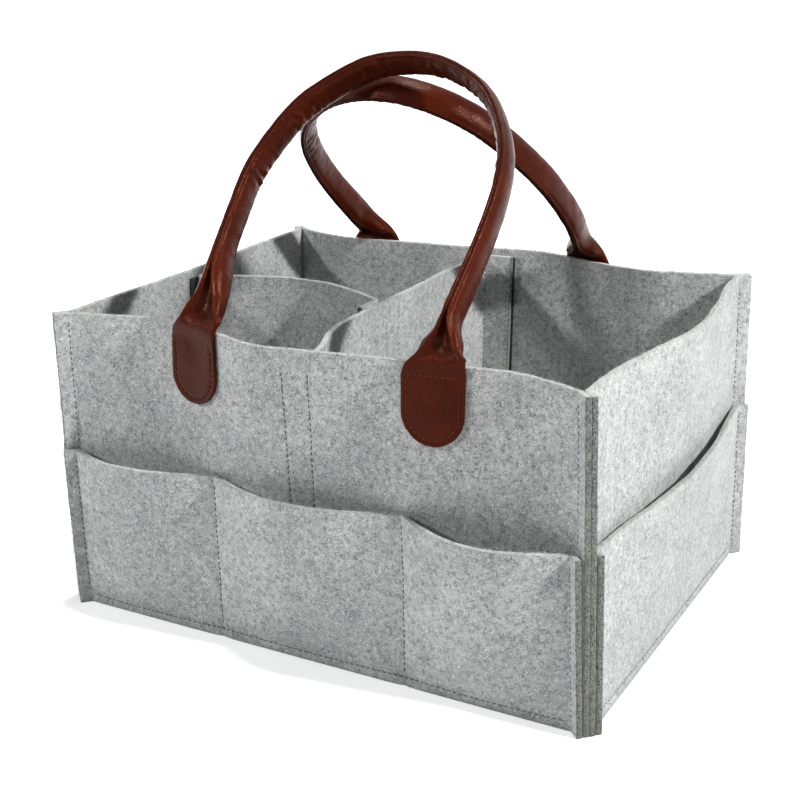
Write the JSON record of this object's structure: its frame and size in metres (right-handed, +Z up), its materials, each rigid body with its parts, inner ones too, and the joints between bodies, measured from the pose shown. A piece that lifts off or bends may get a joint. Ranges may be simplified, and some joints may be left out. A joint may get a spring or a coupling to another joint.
{
  "type": "diaper caddy",
  "caption": "Open-topped felt caddy with outside pockets, lift-out dividers and a leaning leather carrying handle on each long side.",
  "frame": {"origin": "middle of the footprint, on the surface that the caddy stands on", "axes": "+X along the long side to the right, +Y to the back, +Z up"},
  "size_m": [0.3472, 0.2878, 0.3175],
  "materials": {
    "felt": "matte heathered wool-like felt",
    "leather": "glossy smooth brown leather",
    "hook_and_loop": "matte black pile",
    "felt_thread": "matte grey thread",
    "leather_thread": "dark brown thread",
    "filler": "soft cotton cord"
  },
  "bodies": {
    "caddy_body": {"base_panel": "felt", "front_wall": "felt", "back_wall": "felt", "left_wall": "felt", "right_wall": "felt", "front_pocket_panel": "felt", "back_pocket_panel": "felt", "left_pocket_panel": "felt", "right_pocket_panel": "felt", "front_wall_loop_strip": "hook_and_loop", "back_wall_loop_strip": "hook_and_loop", "left_wall_loop_strip": "hook_and_loop", "front_handle_left_tab": "leather", "front_handle_right_tab": "leather", "back_handle_left_tab": "leather", "back_handle_right_tab": "leather", "front_handle_left_tab_thread": "leather_thread", "front_handle_right_tab_thread": "leather_thread", "back_handle_left_tab_thread": "leather_thread", "back_handle_right_tab_thread": "leather_thread", "front_base_seam_thread": "felt_thread", "right_base_seam_thread": "felt_thread", "back_base_seam_thread": "felt_thread", "left_base_seam_thread": "felt_thread", "front_left_pocket_seam_thread": "felt_thread", "front_right_pocket_seam_thread": "felt_thread", "back_left_pocket_seam_thread": "felt_thread", "back_right_pocket_seam_thread": "felt_thread", "front_left_corner_seam_thread": "felt_thread", "front_right_corner_seam_thread": "felt_thread", "back_left_corner_seam_thread": "felt_thread", "back_right_corner_seam_thread": "felt_thread"},
    "front_handle": {"front_handle_leather": "leather", "front_handle_core": "filler"},
    "back_handle": {"back_handle_leather": "leather", "back_handle_core": "filler"},
    "long_divider_set": {"long_divider": "felt", "long_divider_loop_strip": "hook_and_loop", "long_divider_front_hook_strip": "hook_and_loop", "long_divider_back_hook_strip": "hook_and_loop"},
    "cross_divider_set": {"cross_divider": "felt", "cross_divider_left_hook_strip": "hook_and_loop", "cross_divider_right_hook_strip": "hook_and_loop"}
  },
  "joints": [
    {"name": "front_handle_swing", "type": "hinge", "parent": "caddy_body", "child": "front_handle", "pos_m": [0.002, -0.11832, 0.1831], "axis": [1, 0, 0], "range_deg": [0, 125]},
    {"name": "back_handle_swing", "type": "hinge", "parent": "caddy_body", "child": "back_handle", "pos_m": [-0.0165, 0.11895, 0.1831], "axis": [-1, 0, 0], "range_deg": [0, 125]},
    {"name": "long_divider_lift", "type": "slide", "parent": "caddy_body", "child": "long_divider_set", "axis": [0, 0, 1], "range_m": [0, 0.106]},
    {"name": "cross_divider_lift", "type": "slide", "parent": "caddy_body", "child": "cross_divider_set", "axis": [0, 0, 1], "range_m": [0, 0.095]}
  ]
}
